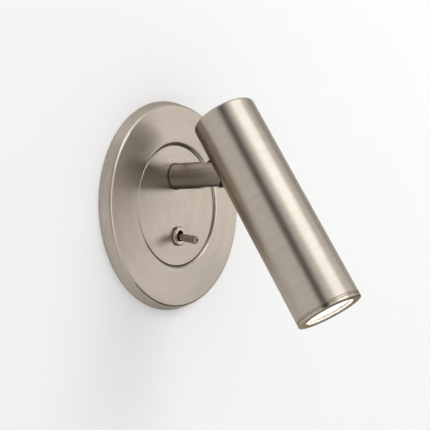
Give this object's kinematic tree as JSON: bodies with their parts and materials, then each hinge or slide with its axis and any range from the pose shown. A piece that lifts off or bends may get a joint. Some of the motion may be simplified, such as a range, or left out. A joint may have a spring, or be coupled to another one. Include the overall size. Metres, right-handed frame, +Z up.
{
  "type": "bedside wall reading lamp",
  "caption": "Brushed nickel bedside reading lamp: round wall plate with a toggle switch, a turning arm and a tilting tubular head with a light in its end.",
  "frame": {"origin": "centre of the round back plate, on the wall plane, midway between the two box-screw slots", "axes": "+Y into the wall, the lamp stands out towards -Y, +Z up the wall, +X to the right seen from the room"},
  "size_m": [0.1234, 0.1396, 0.1303],
  "materials": {
    "satin_nickel": "satin brushed nickel plating on steel",
    "satin_nickel_head": "satin brushed nickel on turned aluminium",
    "black_washer": "matte",
    "black_casting": "black satin powder coat on a zinc casting",
    "plated_brass": "polished, aged nickel plating on brass",
    "zinc_steel": "bright zinc plating",
    "spring_steel": "blued",
    "white_acetal": "smooth",
    "heat_sink_aluminium": "machined",
    "grey_pad": "soft",
    "white_board": "white solder mask",
    "led_phosphor": "lit phosphor",
    "reflector_metal": "satin bright",
    "clear_lens": "clear",
    "black_rubber": "matte",
    "switch_plastic": "moulded phenolic",
    "silver_contact": "silver plated",
    "driver_plastic": "fine spark texture",
    "terminal_plastic": "slightly milky",
    "brown_insulation": "smooth",
    "blue_insulation": "smooth",
    "black_insulation": "smooth",
    "white_insulation": "smooth"
  },
  "bodies": {
    "wall_plate": {"arm_bush": "white_acetal", "block_screw": "zinc_steel", "canopy_lock_screw": "plated_brass", "canopy_shell": "satin_nickel", "centre_disc": "satin_nickel", "disc_screws": "zinc_steel", "driver_screws": "zinc_steel", "earth_screw": "plated_brass", "led_driver": "driver_plastic", "live_lead": "brown_insulation", "neutral_lead": "blue_insulation", "output_lead": "white_insulation", "switch_back_nut": "zinc_steel", "switch_body": "switch_plastic", "switch_dress_nut": "satin_nickel", "switch_frame": "zinc_steel", "switch_lock_washer": "spring_steel", "switch_terminals": "silver_contact", "switched_lead": "black_insulation", "swivel_stop_pin": "zinc_steel", "terminal_block": "terminal_plastic", "terminal_screws": "zinc_steel", "wall_bracket": "zinc_steel"},
    "arm": {"arm_base_washer": "black_washer", "arm_lead": "white_insulation", "arm_spindle": "zinc_steel", "arm_tube": "satin_nickel", "pivot_screw": "plated_brass", "spindle_grommet": "black_rubber", "spindle_nuts": "zinc_steel", "swivel_spring_washer": "spring_steel", "swivel_stop_washer": "zinc_steel"},
    "head": {"bezel_ring": "satin_nickel_head", "board_screws": "zinc_steel", "head_lead": "white_insulation", "head_shell": "satin_nickel_head", "heat_sink": "heat_sink_aluminium", "knuckle_block": "black_casting", "knuckle_screws": "zinc_steel", "knuckle_washers": "white_acetal", "led_board": "white_board", "led_chip": "led_phosphor", "lens": "clear_lens", "lens_gasket": "black_rubber", "reflector": "reflector_metal", "thermal_pad": "grey_pad"},
    "switch_lever": {"toggle_lever": "plated_brass"}
  },
  "joints": [
    {"name": "arm_swivel", "type": "hinge", "parent": "wall_plate", "child": "arm", "pos_m": [0, 0, 0.01715], "axis": [0, -1, 0], "range_deg": [-165, 165]},
    {"name": "head_tilt", "type": "hinge", "parent": "arm", "child": "head", "pos_m": [0, -0.0353, 0.01715], "axis": [-1, 0, 0], "range_deg": [-46, 29]},
    {"name": "switch_toggle", "type": "hinge", "parent": "wall_plate", "child": "switch_lever", "pos_m": [0, -0.0034, -0.0181], "axis": [-1, 0, 0], "range_deg": [0, 18]}
  ]
}
